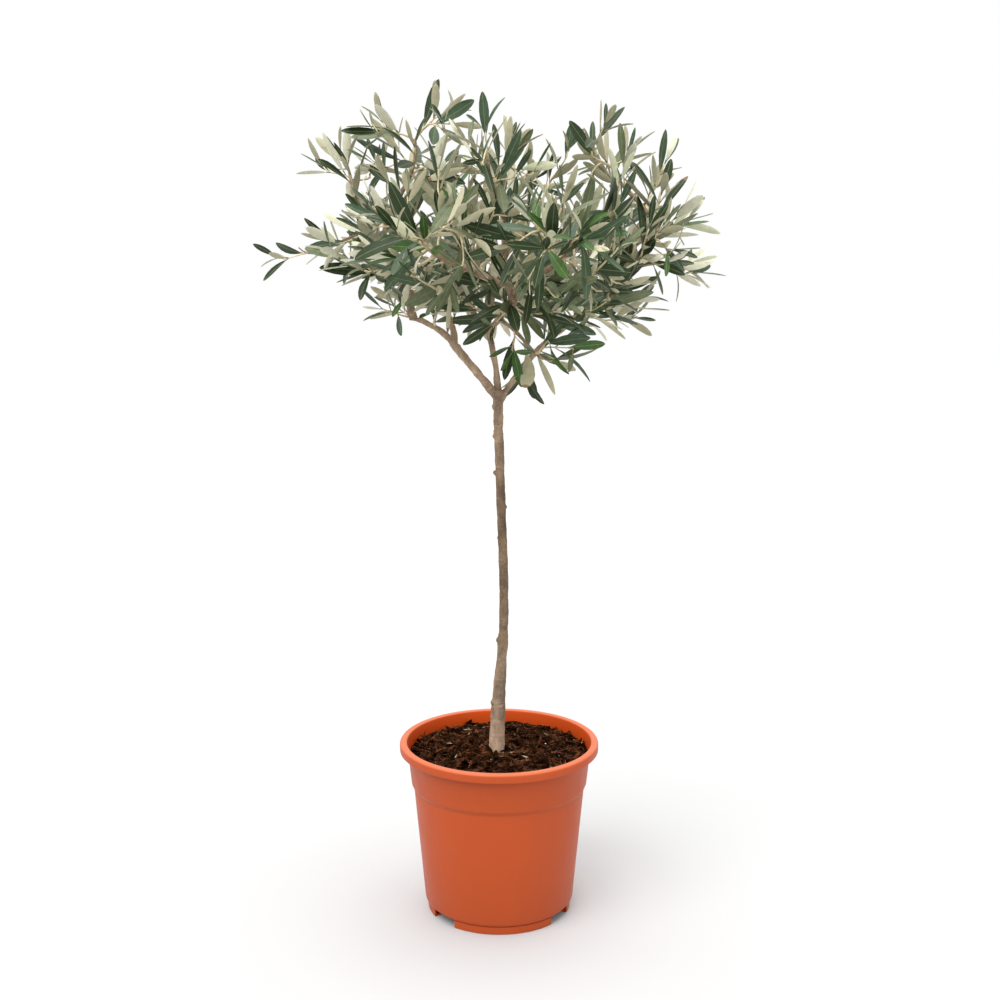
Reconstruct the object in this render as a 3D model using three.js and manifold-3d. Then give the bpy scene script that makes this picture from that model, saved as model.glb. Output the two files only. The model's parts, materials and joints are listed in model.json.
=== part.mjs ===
// A young olive tree grown as a standard: a thin bare trunk, a few forking boughs and a broad,
// loose crown, in a round plastic nursery pot filled with bark compost.
// Millimetres, +Z up. The origin is the centre of the pot's flat underside, on the ground.
// +X is the tree's right side and -Y its front.
import * as THREE from "three";
import { mergeVertices } from "three/addons/utils/BufferGeometryUtils.js";
import Module from "manifold-3d";

const wasm = await Module();
wasm.setup();

// ---------------------------------------------------------------------------------------------
// Driving dimensions
// ---------------------------------------------------------------------------------------------
const GAP = 0.3; // clearance between pieces that touch

const POT = {
  height: 184,
  rimRadius: 105,
  rimHeight: 9.5, // of the skirt that hangs from the rim
  lipRadius: 98.2, // inner edge of the rim
  neckRadius: 96.7, // the collar just under the rim
  collarRadius: 93, // the collar at its lower edge
  collarBottom: 140.4,
  stepHeight: 6, // the slope from the collar in to the wall
  shoulderRadius: 90.3, // the wall under the collar
  wallBottomRadius: 78.8,
  footRadius: 76.2,
  footHeight: 9,
  wall: 1.8,
  floor: 2.4,
  segments: 48,
};
const NOTCHES = { bearingsDeg: [-140, -32, 94], widthDeg: 22, depth: 12 }; // drainage, in the foot
const SOIL = { top: 172, mound: 1.5, channelRadius: 58, segments: 36 };

const TRUNK = {
  base: SOIL.top,
  fork: 553,
  baseRadius: 8.5,
  flareHeight: 80, // over which the root flare fades
  stemRadius: 4.9,
  bow: 7, // sideways bow of the stem at a third of its height
};
const LIMB_SIDES = 8;
const SLIVER = 40; // mm3, the most that is dropped where a limb is cut

// Each bough: where it grows from, the points it passes through [x, y, z], and its radius at its
// root and at its far end. A bough named in "from" is cut before the ones that grow from it.
const BOUGHS = [
  {
    name: "bough_left",
    points: [[-1, 0, 546], [-17, -2, 567], [-33, -5, 586], [-45, -7, 601]],
    radii: [4.6, 3.9],
  },
  {
    name: "bough_left_outer",
    points: [[-43, -7, 599], [-55, -12, 613], [-78, -20, 627], [-104, -28, 640]],
    radii: [3.5, 2.6],
  },
  {
    name: "bough_left_inner",
    points: [[-44, -7, 599], [-46, 2, 614], [-53, 16, 634], [-62, 34, 658]],
    radii: [3.5, 2.6],
  },
  {
    name: "bough_middle",
    points: [[-1, 1, 552], [-3, 2, 575], [-7, 2, 600], [-11, 2, 616]],
    radii: [3.5, 3.0],
  },
  {
    name: "bough_middle_back",
    points: [[-10, 2, 614], [-20, 14, 624], [-28, 36, 636], [-30, 62, 652]],
    radii: [3.2, 2.5],
  },
  {
    name: "bough_middle_front",
    points: [[-10, 2, 614], [-2, -10, 625], [8, -32, 637], [18, -58, 652]],
    radii: [3.2, 2.5],
  },
  {
    name: "bough_right",
    points: [[1, 2, 546], [13, 5, 561], [30, 10, 585], [50, 15, 604], [84, 22, 630]],
    radii: [3.6, 2.7],
  },
];

// The crown's masses of foliage: the centre [x, y, z] of each and its half sizes along X, Y and Z.
const MASSES = [
  { name: "foliage_core", centre: [5, 5, 712], half: [74, 76, 62] },
  { name: "foliage_top_left", centre: [-84, -12, 797], half: [60, 58, 58] },
  { name: "foliage_top_front", centre: [-10, -72, 776], half: [52, 56, 56] },
  { name: "foliage_top_back", centre: [4, 70, 778], half: [62, 60, 46] },
  { name: "foliage_top_right", centre: [114, -4, 784], half: [58, 60, 50] },
  { name: "foliage_upper_left", centre: [-150, 12, 786], half: [46, 54, 26] },
  { name: "foliage_left", centre: [-128, -30, 708], half: [60, 68, 44] },
  { name: "foliage_front_left", centre: [-72, -138, 706], half: [66, 64, 58] },
  { name: "foliage_front_right", centre: [66, -140, 704], half: [68, 64, 56] },
  { name: "foliage_right", centre: [152, -30, 718], half: [50, 66, 52] },
  { name: "foliage_back_right", centre: [104, 106, 710], half: [68, 66, 56] },
  { name: "foliage_back", centre: [4, 156, 704], half: [66, 52, 56] },
  { name: "foliage_back_left", centre: [-96, 106, 712], half: [68, 66, 58] },
  { name: "foliage_low_left", centre: [-92, -22, 657], half: [62, 74, 30] },
  { name: "foliage_low_right", centre: [110, 0, 646], half: [62, 76, 34] },
  { name: "foliage_low_front", centre: [14, -88, 653], half: [78, 62, 36] },
  { name: "foliage_low_back", centre: [-4, 88, 652], half: [84, 64, 38] },
  { name: "foliage_tip_left", centre: [-194, -4, 697], half: [50, 25, 27] },
  { name: "foliage_tip_right", centre: [193, 2, 694], half: [31, 30, 42] },
  { name: "foliage_hanging", centre: [42, -46, 591], half: [46, 28, 42] },
];
const MASS_DETAIL = 2;
const UNEVENNESS = 0.12; // of a mass's half size

// ---------------------------------------------------------------------------------------------
// From three.js geometry to a manifold solid and back
// ---------------------------------------------------------------------------------------------
function solidOf(geometry) {
  const bare = geometry.clone();
  bare.deleteAttribute("normal");
  bare.deleteAttribute("uv");
  const merged = mergeVertices(bare, 1e-3);
  return new wasm.Manifold(
    new wasm.Mesh({
      numProp: 3,
      vertProperties: new Float32Array(merged.attributes.position.array),
      triVerts: new Uint32Array(merged.index.array),
    }),
  );
}

function geometryOf(solid) {
  const mesh = solid.getMesh();
  const geometry = new THREE.BufferGeometry();
  geometry.setAttribute("position", new THREE.BufferAttribute(mesh.vertProperties, 3));
  geometry.setIndex(new THREE.BufferAttribute(mesh.triVerts, 1));
  geometry.computeVertexNormals();
  return geometry;
}

// A lathe turns about Y, so its solid is stood up to turn about Z. The profile runs from the
// bottom of the axis round the outside, or closes on itself.
function turned(profile, segments) {
  const points = profile.map(([radius, z]) => new THREE.Vector2(radius, z));
  return solidOf(new THREE.LatheGeometry(points, segments).rotateX(Math.PI / 2));
}

// ---------------------------------------------------------------------------------------------
// Pot and compost
// ---------------------------------------------------------------------------------------------
function potSolid() {
  const p = POT;
  const rimUnder = p.height - p.rimHeight;
  const collarTop = p.height - 4;
  const shell = turned(
    [
      [0, 0],
      [p.footRadius - 0.8, 0],
      [p.footRadius, 0.8],
      [p.footRadius + 0.6, p.footHeight - 0.6],
      [p.wallBottomRadius, p.footHeight],
      [p.shoulderRadius, p.collarBottom - p.stepHeight],
      [p.collarRadius, p.collarBottom],
      [p.neckRadius, rimUnder],
      [p.neckRadius + 0.4, p.height - p.wall - 0.6],
      [p.rimRadius - p.wall - 0.4, p.height - p.wall - 0.8],
      [p.rimRadius - p.wall, rimUnder],
      [p.rimRadius - 0.5, rimUnder],
      [p.rimRadius, rimUnder + 1.4],
      [p.rimRadius, p.height - 2.6],
      [p.rimRadius - 2.4, p.height],
      [p.lipRadius + 1, p.height],
      [p.lipRadius - 1, p.height - 1.2],
      [p.neckRadius - p.wall, collarTop - 2],
      [p.collarRadius - p.wall, p.collarBottom],
      [p.shoulderRadius - p.wall, p.collarBottom - p.stepHeight],
      [p.wallBottomRadius - p.wall, p.footHeight + 1.4],
      [p.footRadius - p.wall, p.footHeight],
      [p.footRadius - p.wall, p.floor],
      [0, p.floor],
    ],
    p.segments,
  );
  return notchCutters().reduce((pot, cutter) => pot.subtract(cutter), shell);
}

// A wedge-shaped block through the foot for each drainage notch.
function notchCutters() {
  const half = THREE.MathUtils.degToRad(NOTCHES.widthDeg / 2);
  const inner = POT.footRadius - NOTCHES.depth;
  const outer = POT.wallBottomRadius + 5;
  const cutters = [];
  for (const bearingDeg of NOTCHES.bearingsDeg) {
    const bearing = THREE.MathUtils.degToRad(bearingDeg);
    const outline = new THREE.Shape();
    outline.absarc(0, 0, outer, bearing - half, bearing + half, false);
    outline.absarc(0, 0, inner, bearing + half, bearing - half, true);
    const block = new THREE.ExtrudeGeometry(outline, {
      depth: POT.footHeight + 1,
      bevelEnabled: false,
      curveSegments: 4,
    });
    cutters.push(solidOf(block.translate(0, 0, -1.01)));
  }
  return cutters;
}

// The compost fills the pot from its floor to just under the rim and heaps a little round the
// trunk. Round its foot it leaves the ring free where the drainage notches open.
function soilSolid() {
  const p = POT;
  const bottom = p.floor + GAP;
  const ledge = p.footHeight + 1.4 + 2 * GAP;
  const inset = p.wall + 2 * GAP;
  const neckShare = (SOIL.top - p.collarBottom) / (p.height - 6 - p.collarBottom);
  const topRadius = THREE.MathUtils.lerp(p.collarRadius, p.neckRadius, neckShare) - inset;
  return turned(
    [
      [0, bottom],
      [SOIL.channelRadius, bottom],
      [SOIL.channelRadius, ledge],
      [p.wallBottomRadius - inset, ledge],
      [p.shoulderRadius - inset, p.collarBottom - p.stepHeight],
      [p.collarRadius - inset, p.collarBottom],
      [topRadius, SOIL.top - GAP - SOIL.mound],
      [topRadius * 0.45, SOIL.top - GAP - SOIL.mound / 2],
      [TRUNK.baseRadius * 2.5, SOIL.top - GAP],
      [0, SOIL.top - GAP],
    ],
    SOIL.segments,
  );
}

// ---------------------------------------------------------------------------------------------
// Trunk and boughs
// ---------------------------------------------------------------------------------------------
// A cylinder bent along a curve, whose radius is a function of the share of its length.
function limb(curve, radiusAt, rings, grow = 0) {
  const geometry = new THREE.CylinderGeometry(1, 1, 1, LIMB_SIDES, rings);
  const frames = curve.computeFrenetFrames(rings, false);
  const position = geometry.attributes.position;
  for (let i = 0; i < position.count; i++) {
    const share = position.getY(i) + 0.5;
    const ring = Math.round(share * rings);
    const radius = radiusAt(share) + grow;
    const endShift = (share - 0.5) * 2 * grow * (share === 0 || share === 1);
    const point = curve
      .getPointAt(share)
      .addScaledVector(frames.normals[ring], position.getX(i) * radius)
      .addScaledVector(frames.binormals[ring], -position.getZ(i) * radius)
      .addScaledVector(frames.tangents[ring], endShift);
    position.setXYZ(i, point.x, point.y, point.z);
  }
  const solid = solidOf(geometry);
  return solid.volume() < 0 ? solidOf(flipped(geometry)) : solid;
}

function flipped(geometry) {
  const index = geometry.index.array;
  for (let i = 0; i < index.length; i += 3) [index[i + 1], index[i + 2]] = [index[i + 2], index[i + 1]];
  return geometry;
}

function through(points) {
  const stops = points.map((point) => new THREE.Vector3(...point));
  return new THREE.CatmullRomCurve3(stops, false, "centripetal");
}

function trunkSolid(grow = 0) {
  const t = TRUNK;
  const height = t.fork - t.base;
  const curve = through([
    [-3, 0, t.base - 12],
    [-2.6, 0, t.base],
    [-0.2, -0.5, t.base + height * 0.16],
    [t.bow - 2.4, -1, t.base + height * 0.34],
    [t.bow - 2.2, -0.5, t.base + height * 0.5],
    [2, 0.5, t.base + height * 0.7],
    [0, 0.5, t.base + height * 0.87],
    [-1.4, 0.5, t.fork],
  ]);
  const radiusAt = (share) => {
    const above = Math.max(0, share * (height + 12) - 12);
    const flare = (t.baseRadius - t.stemRadius) * Math.exp(-Math.pow(above / t.flareHeight, 2.1));
    const foot = 0.5 * Math.exp(-above / 7); // where the roots start
    const swelling = 0.9 * Math.pow(share, 14); // where the boughs leave
    return t.stemRadius + flare + foot + swelling;
  };
  return limb(curve, radiusAt, 22, grow).trimByPlane([0, 0, 1], t.base - grow);
}

function boughSolid({ points, radii: [root, end] }, grow = 0) {
  const radiusAt = (share) => THREE.MathUtils.lerp(root, end, share) + 0.7 * Math.exp(-share * 9);
  return limb(through(points), radiusAt, 9, grow);
}

// The one piece of a cut limb that grows from its root: the lowest that is no mere sliver.
function rootPiece(solid) {
  const pieces = solid.decompose().filter((piece) => piece.volume() > SLIVER);
  return pieces.reduce((low, piece) => (lowest(piece) < lowest(low) ? piece : low));
}

const lowest = (solid) => solid.boundingBox().min[2];

// ---------------------------------------------------------------------------------------------
// Foliage
// ---------------------------------------------------------------------------------------------
// Smooth bumps that depend only on the direction and the mass, so that each mass has its own shape.
function bumpsAt(direction, seed) {
  let height = 0;
  for (let wave = 1; wave <= 3; wave++) {
    const turn = seed * (1.7 + wave);
    height +=
      Math.sin(direction.x * (2.1 + wave * 1.3) + turn) *
      Math.cos(direction.y * (1.9 + wave * 1.1) - turn * 0.7) *
      Math.sin(direction.z * (2.3 + wave) + turn * 1.3);
  }
  return height;
}

function massSolid({ centre, half }, seed, grow = 0) {
  const geometry = new THREE.IcosahedronGeometry(1, MASS_DETAIL);
  const position = geometry.attributes.position;
  const direction = new THREE.Vector3();
  for (let i = 0; i < position.count; i++) {
    direction.fromBufferAttribute(position, i).normalize();
    const reach = 1 + UNEVENNESS * bumpsAt(direction, seed);
    position.setXYZ(
      i,
      centre[0] + direction.x * (half[0] * reach + grow),
      centre[1] + direction.y * (half[1] * reach + grow),
      centre[2] + direction.z * (half[2] * reach + grow),
    );
  }
  return solidOf(geometry);
}

// How far an ellipsoid of these half sizes reaches in a direction.
function reachOf(half, direction) {
  return 1 / Math.hypot(direction.x / half[0], direction.y / half[1], direction.z / half[2]);
}

// Neighbouring masses are parted by a plane between their centres, nearer the smaller one.
function partedFrom(solid, mass, others) {
  const own = new THREE.Vector3(...mass.centre);
  for (const other of others) {
    const toOther = new THREE.Vector3(...other.centre).sub(own);
    const distance = toOther.length();
    toOther.normalize();
    const ownReach = reachOf(mass.half, toOther);
    const share = ownReach / (ownReach + reachOf(other.half, toOther));
    const limit = own.dot(toOther) + distance * share - GAP;
    solid = solid.trimByPlane([-toOther.x, -toOther.y, -toOther.z], -limit);
  }
  return solid;
}

// ---------------------------------------------------------------------------------------------
// The assembly
// ---------------------------------------------------------------------------------------------
const finish = (color, roughness) => new THREE.MeshStandardMaterial({ color, roughness, metalness: 0 });
const FINISHES = {
  plastic: finish(0xc4552c, 0.45),
  compost: finish(0x2e1a12, 0.95),
  bark: finish(0x8d7460, 0.85),
  foliage: finish(0x6f7f66, 0.7),
};

const tree = new THREE.Group();

function add(name, solid, material) {
  const mesh = new THREE.Mesh(geometryOf(solid), material);
  mesh.name = name;
  tree.add(mesh);
}

add("pot", potSolid(), FINISHES.plastic);
add("soil", soilSolid(), FINISHES.compost);
add("trunk", trunkSolid(), FINISHES.bark);

const grownMasses = MASSES.map((mass, i) => massSolid(mass, i + 1, GAP));
const grownLimbs = [trunkSolid(GAP)];
for (const bough of BOUGHS) {
  const cutters = [...grownLimbs, ...grownMasses];
  const cut = cutters.reduce((left, cutter) => left.subtract(cutter), boughSolid(bough));
  add(bough.name, rootPiece(cut), FINISHES.bark);
  grownLimbs.push(boughSolid(bough, GAP));
}

MASSES.forEach((mass, i) => {
  const others = MASSES.filter((other) => other !== mass);
  add(mass.name, partedFrom(massSolid(mass, i + 1), mass, others), FINISHES.foliage);
});

export default tree;
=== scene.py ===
"""A young olive tree grown as a standard, in a moulded plastic pot of bark compost.

The pot, the compost, the trunk with its boughs, the twigs and the leaves are modelled around the
tree's solid frame. Lengths are metres, +Z is up and -Y is the tree's front.
"""

import json
import math
from contextlib import contextmanager
from dataclasses import dataclass

import bmesh
import bpy
import numpy as np
from bpy.props import FloatProperty, FloatVectorProperty, IntProperty, PointerProperty
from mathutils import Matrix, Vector
from mathutils.bvhtree import BVHTree

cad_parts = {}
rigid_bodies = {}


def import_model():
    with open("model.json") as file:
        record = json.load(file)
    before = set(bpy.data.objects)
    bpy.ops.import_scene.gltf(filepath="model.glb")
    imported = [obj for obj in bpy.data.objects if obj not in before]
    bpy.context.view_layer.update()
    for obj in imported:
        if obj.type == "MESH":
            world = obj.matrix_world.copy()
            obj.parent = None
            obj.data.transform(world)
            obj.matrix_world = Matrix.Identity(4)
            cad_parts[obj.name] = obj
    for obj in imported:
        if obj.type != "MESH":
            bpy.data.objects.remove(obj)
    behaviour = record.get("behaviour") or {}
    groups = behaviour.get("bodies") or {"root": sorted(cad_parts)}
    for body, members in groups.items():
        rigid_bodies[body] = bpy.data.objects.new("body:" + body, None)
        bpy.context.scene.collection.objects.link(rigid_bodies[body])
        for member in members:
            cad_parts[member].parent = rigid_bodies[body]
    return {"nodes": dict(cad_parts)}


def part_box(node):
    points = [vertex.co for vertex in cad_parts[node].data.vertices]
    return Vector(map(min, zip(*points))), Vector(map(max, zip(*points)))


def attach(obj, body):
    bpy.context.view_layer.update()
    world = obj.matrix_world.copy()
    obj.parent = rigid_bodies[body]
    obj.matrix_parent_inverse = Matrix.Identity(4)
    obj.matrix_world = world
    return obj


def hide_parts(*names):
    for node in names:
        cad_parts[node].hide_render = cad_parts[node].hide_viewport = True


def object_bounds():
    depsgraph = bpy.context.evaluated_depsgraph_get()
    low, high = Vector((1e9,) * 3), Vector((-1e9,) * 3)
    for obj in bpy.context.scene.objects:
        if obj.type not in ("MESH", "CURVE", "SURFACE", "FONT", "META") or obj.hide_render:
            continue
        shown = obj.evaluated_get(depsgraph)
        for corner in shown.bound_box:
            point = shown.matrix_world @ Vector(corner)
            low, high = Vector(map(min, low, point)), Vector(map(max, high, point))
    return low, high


bl_info = {
    "name": "Potted Olive Tree",
    "version": (1, 0, 0),
    "blender": (4, 5, 0),
    "location": "View3D > Sidebar > Olive Tree",
    "description": "Models a young standard olive in its pot around a solid frame",
    "category": "Object",
}

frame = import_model()
CAD_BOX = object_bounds()
POT_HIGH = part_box("pot")[1]
SOIL_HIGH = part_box("soil")[1]
BOUGHS = sorted(name for name in frame["nodes"] if name.startswith("bough"))
MASSES = sorted(name for name in frame["nodes"] if name.startswith("foliage"))
HANGING_MASS = "foliage_hanging"
HANGING_WAY = np.array([0.1, -0.8, -0.45])
LEAST_SHOOTS = {HANGING_MASS: 6}
CROWN_HEIGHT = 0.24
CROWN_FOOT = np.array([0.0, 0.0, CAD_BOX[1][2] - CROWN_HEIGHT])
UP = np.array([0.0, 0.0, 1.0])


# ---- Settings ----
def length(label, description, value):
    return FloatProperty(
        name=label, description=description, default=value, min=0, unit="LENGTH", precision=5
    )


def number(label, description, value, least=0.0):
    return FloatProperty(name=label, description=description, default=value, min=least)


def whole(label, description, value, least=0):
    return IntProperty(name=label, description=description, default=value, min=least)


def angle(label, description, degrees):
    return FloatProperty(
        name=label, description=description, default=math.radians(degrees), subtype="ANGLE"
    )


def bearings(label, description, degrees):
    return FloatVectorProperty(
        name=label,
        description=description,
        default=[math.radians(bearing) for bearing in degrees],
        size=len(degrees),
        unit="ROTATION",
    )


def colour(label, description, red, green, blue):
    return FloatVectorProperty(
        name=label, description=description, default=(red, green, blue), min=0, max=1, subtype="COLOR"
    )


class PotSettings(bpy.types.PropertyGroup):
    segments: whole("Segments", "Facets round the pot", 144, 24)
    rim_height: length("Rim height", "Height of the skirt that hangs from the rim", 0.0095)
    rim_round: length("Rim rounding", "Radius of the rim's outer top edge", 0.0026)
    lip_radius: length("Lip radius", "Radius of the rim's inner edge", 0.0973)
    neck_radius: length("Neck radius", "Radius of the collar just under the rim", 0.0967)
    collar_radius: length("Collar radius", "Radius of the collar at its lower edge", 0.0930)
    collar_bottom: length("Collar bottom", "Height of the collar's lower edge", 0.1404)
    step: length("Step", "Height of the slope from the collar in to the wall", 0.006)
    shoulder_radius: length("Shoulder radius", "Radius of the wall under the collar", 0.0903)
    foot_radius: length("Foot radius", "Radius of the foot ring", 0.0762)
    foot_height: length("Foot height", "Height of the foot ring", 0.009)
    wall_bottom: length("Wall bottom radius", "Radius of the wall where it meets the foot", 0.0788)
    wall: length("Wall", "Thickness of the plastic", 0.0018)
    floor: length("Floor", "Thickness of the pot's floor", 0.0024)
    notch_width: angle("Notch width", "How far round the foot each drainage notch goes", 22)
    notch_bearings: bearings("Notch bearings", "Directions of the notches, from +X", (-140, -32, 94))
    notch_depth: length("Notch depth", "How far in from the foot each notch goes", 0.012)
    plastic: colour("Plastic", "Colour of the moulded plastic", 0.385, 0.0564, 0.0083)
    plastic_worn: colour("Worn plastic", "Colour of the scuffed patches", 0.405, 0.078, 0.022)
    # Painted light: the inside is a brighter, redder copy of the plastic, standing in for light that
    # shines through the thin wall.
    plastic_inside_glow: colour("Inside", "Colour of the wall inside", 0.46, 0.055, 0.005)
    # Painted highlight: the rim's top edge gets this paler colour in place of the top light that
    # brightens it.
    plastic_edge_highlight: colour("Edge", "Colour of the rim's rubbed top edge", 0.58, 0.130, 0.050)


class CompostSettings(bpy.types.PropertyGroup):
    seed: whole("Seed", "Seed of the compost's random choices", 11)
    heap: length("Heap", "Rise of the compost towards the trunk", 0.0025)
    heap_reach: length("Heap reach", "Distance from the trunk's middle that red chips cover", 0.024)
    lumps: length("Lumps", "Height of the lumps in the surface", 0.0095)
    chips: whole("Chips", "Bark chips on the surface", 2000)
    fibres: whole("Fibres", "Bark fibres on the surface", 900)
    straws: whole("Straws", "Pale fibres on the surface", 34)
    curls: whole("Curls", "Broad pale curls on the surface", 13)
    grains: whole("Grains", "White grains on the surface", 80)
    dark: colour("Dark", "Colour of the wet compost", 0.0085, 0.0036, 0.0018)
    brown: colour("Brown", "Colour of most chips", 0.040, 0.015, 0.0065)
    red: colour("Red", "Colour of the freshest chips", 0.17, 0.055, 0.022)
    straw: colour("Straw", "Colour of the pale fibres and curls", 0.50, 0.37, 0.24)
    white: colour("White", "Colour of the grains", 0.72, 0.68, 0.60)


class BarkSettings(bpy.types.PropertyGroup):
    seed: whole("Seed", "Seed of the bark's random choices", 5)
    voxel: length("Voxel", "Fineness of the joined bark's surface", 0.0006)
    sunk: length("Sunk", "How far the trunk goes on under the compost", 0.012)
    collar: number("Collar", "Widening where a bough leaves", 1.12, 1.0)
    knobbly: number("Knobbly", "How uneven the limbs are", 0.035)
    foot_swell: number("Foot swell", "Widening at the ground", 0.05)
    relief: length("Relief", "Depth of the bark's folds", 0.0014)
    foot: colour("Foot", "Colour of the trunk at the ground", 0.42, 0.29, 0.20)
    low: colour("Low", "Colour of the trunk above its flare", 0.215, 0.151, 0.100)
    middle: colour("Middle", "Colour of the trunk half way up", 0.150, 0.100, 0.062)
    high: colour("High", "Colour of the trunk under the fork", 0.235, 0.162, 0.107)
    bough: colour("Bough", "Colour of the boughs", 0.33, 0.235, 0.160)
    scar: colour("Scar", "Colour of healed scars and pores", 0.45, 0.33, 0.225)


class TwigSettings(bpy.types.PropertyGroup):
    seed: whole("Seed", "Seed of the branching rule", 103)
    shoots: whole("Shoots", "Leafy shoots in the crown", 275, 1)
    step: length("Step", "Distance between points along a twig", 0.006)
    tip_radius: length("Tip radius", "Radius of a shoot at its tip", 0.00066)
    taper: number("Taper", "Radius gained per metre of twig", 0.008)
    pipe: number("Pipe exponent", "How twigs' sizes add up at a fork", 2.55)
    inset: length("Inset", "How far inside the crown's outline shoots end", 0.016)
    pale: colour("Pale shoots", "Colour of the youngest shoots", 0.70, 0.58, 0.37)
    brown: colour("Brown twigs", "Colour of the older twigs", 0.33, 0.235, 0.155)


class LeafSettings(bpy.types.PropertyGroup):
    seed: whole("Seed", "Seed of the leaves' random choices", 71)
    length: length("Length", "Length of a full-grown leaf", 0.0485)
    width: number("Width", "Width as a share of length", 0.224, 0.05)
    spacing: length("Spacing", "Distance between pairs of leaves", 0.0138)
    leafy: length("Leafy length", "How much of each shoot bears leaves", 0.115)
    petiole: length("Petiole", "Length of a leaf's stalk", 0.0035)
    thickness: length("Thickness", "Thickness of a leaf", 0.0005)
    spread: angle("Spread", "Angle between a leaf and its shoot", 44)
    turned_out: number("Turned out", "How far leaves face outwards", 0.5)
    overhang: length("Overhang", "How far leaf tips may reach out of the crown's outline", 0.009)
    rib: colour("Midrib", "Colour of the midrib and stalk", 0.33, 0.37, 0.20)
    withered: colour("Withered", "Colour of a dry tip", 0.23, 0.15, 0.075)


class StageSettings(bpy.types.PropertyGroup):
    distance: length("Distance", "Camera's distance in front of the trunk", 1.45)
    eye: length("Eye height", "Camera's height above the floor", 0.7)
    pitch: angle("Pitch", "How far the camera looks down", 10.1)
    lens: number("Lens", "Focal length in millimetres", 51.55, 1.0)
    floor: colour("Floor", "Colour of the floor", 0.492, 0.492, 0.492)


# The leaves' tints. Each has the colours of the upper and under side and its share of the sprays.
# Most leaves of a spray have its own tint, and the rest have any.
TINTS = {
    "deep": ((0.022, 0.039, 0.012), (0.44, 0.42, 0.285), 0.36),
    "slate": ((0.050, 0.083, 0.043), (0.66, 0.65, 0.50), 0.31),
    "sage": ((0.105, 0.127, 0.062), (0.50, 0.47, 0.32), 0.24),
    "fresh": ((0.044, 0.102, 0.020), (0.66, 0.67, 0.47), 0.09),
}
SAME_TINT, VEIN_PALENESS = 0.72, 0.35
# Leaves past the crown's outline: how much smaller they are, and how far out they are left off.
OUTER_SIZE, OUTER_REACH = 0.8, 1.6


# ---- Modelling helpers ----
def add_primitive(name, primitive, **options):
    """Adds a primitive with nothing else selected, and returns its object."""
    bpy.ops.object.select_all(action="DESELECT")
    primitive(**options)
    piece = bpy.context.object
    piece.name = name
    piece.data.name = name
    return piece


def make_active(piece):
    bpy.ops.object.select_all(action="DESELECT")
    piece.select_set(True)
    bpy.context.view_layer.objects.active = piece


def choose(piece, kind, test):
    """In edit mode, selects just the faces or edges that pass the test."""
    bpy.ops.mesh.select_mode(type=kind)
    bpy.ops.mesh.select_all(action="DESELECT")
    shape = bmesh.from_edit_mesh(piece.data)
    for item in shape.faces if kind == "FACE" else shape.edges:
        item.select_set(test(item))
    bmesh.update_edit_mesh(piece.data)


def faces_up(face):
    return face.normal.z > 0.9


def faces_down(face):
    return face.normal.z < -0.9


@contextmanager
def edit_mode():
    """Edits the active piece's mesh until the block ends."""
    bpy.ops.object.mode_set(mode="EDIT")
    yield
    bpy.ops.object.mode_set(mode="OBJECT")


def clean_normals():
    """In edit mode, merges doubles and points every face outwards."""
    bpy.ops.mesh.select_all(action="SELECT")
    bpy.ops.mesh.remove_doubles(threshold=1e-6)
    bpy.ops.mesh.normals_make_consistent(inside=False)


def apply_modifier(piece, kind, **options):
    make_active(piece)
    modifier = piece.modifiers.new(kind.lower(), kind)
    for key, value in options.items():
        setattr(modifier, key, value)
    bpy.ops.object.modifier_apply(modifier=modifier.name)


def new_object(name, data):
    thing = bpy.data.objects.new(name, data)
    bpy.context.scene.collection.objects.link(thing)
    return thing


def displace(piece, size, strength, stretch=(1, 1, 1), group=""):
    """Raises and sinks a piece's surface by solid clouds, stretched along the axes."""
    texture = bpy.data.textures.new(piece.name + "_clouds", "CLOUDS")
    texture.noise_scale = size
    guide = new_object("grain", None)
    guide.scale = stretch
    bpy.context.view_layer.update()
    apply_modifier(
        piece,
        "DISPLACE",
        texture=texture,
        texture_coords="OBJECT",
        texture_coords_object=guide,
        strength=strength,
        mid_level=0.5,
        vertex_group=group,
    )
    bpy.data.objects.remove(guide)


def apply_place(piece):
    make_active(piece)
    bpy.ops.object.transform_apply(location=True, rotation=True, scale=True)


def piece_from_arrays(name, points, faces):
    """A new piece from points and faces that were worked out in arrays."""
    data = bpy.data.meshes.new(name)
    data.from_pydata(points.tolist(), [], faces)
    data.update()
    return new_object(name, data)


def hand_over(piece, materials, replaced=()):
    """Gives a finished piece its materials, and its place in the frame."""
    for material in materials:
        piece.data.materials.append(material)
    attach(piece, "root")
    if replaced:
        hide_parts(*replaced)


def surface_tree(data):
    """A search tree of a mesh's faces."""
    return BVHTree.FromPolygons([v.co for v in data.vertices], [p.vertices for p in data.polygons])


def unit(vector):
    return vector / (np.linalg.norm(vector, axis=-1, keepdims=True) + 1e-12)


def distances_along(points):
    """How far along a line each of its points is."""
    lengths = np.linalg.norm(np.diff(points, axis=0), axis=1)
    return np.concatenate([[0], np.cumsum(lengths)])


# ---- Material helpers ----
# Where a Mix node that mixes colours keeps them.
COLOUR_A, COLOUR_B, MIXED_COLOUR = 6, 7, 2


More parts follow.
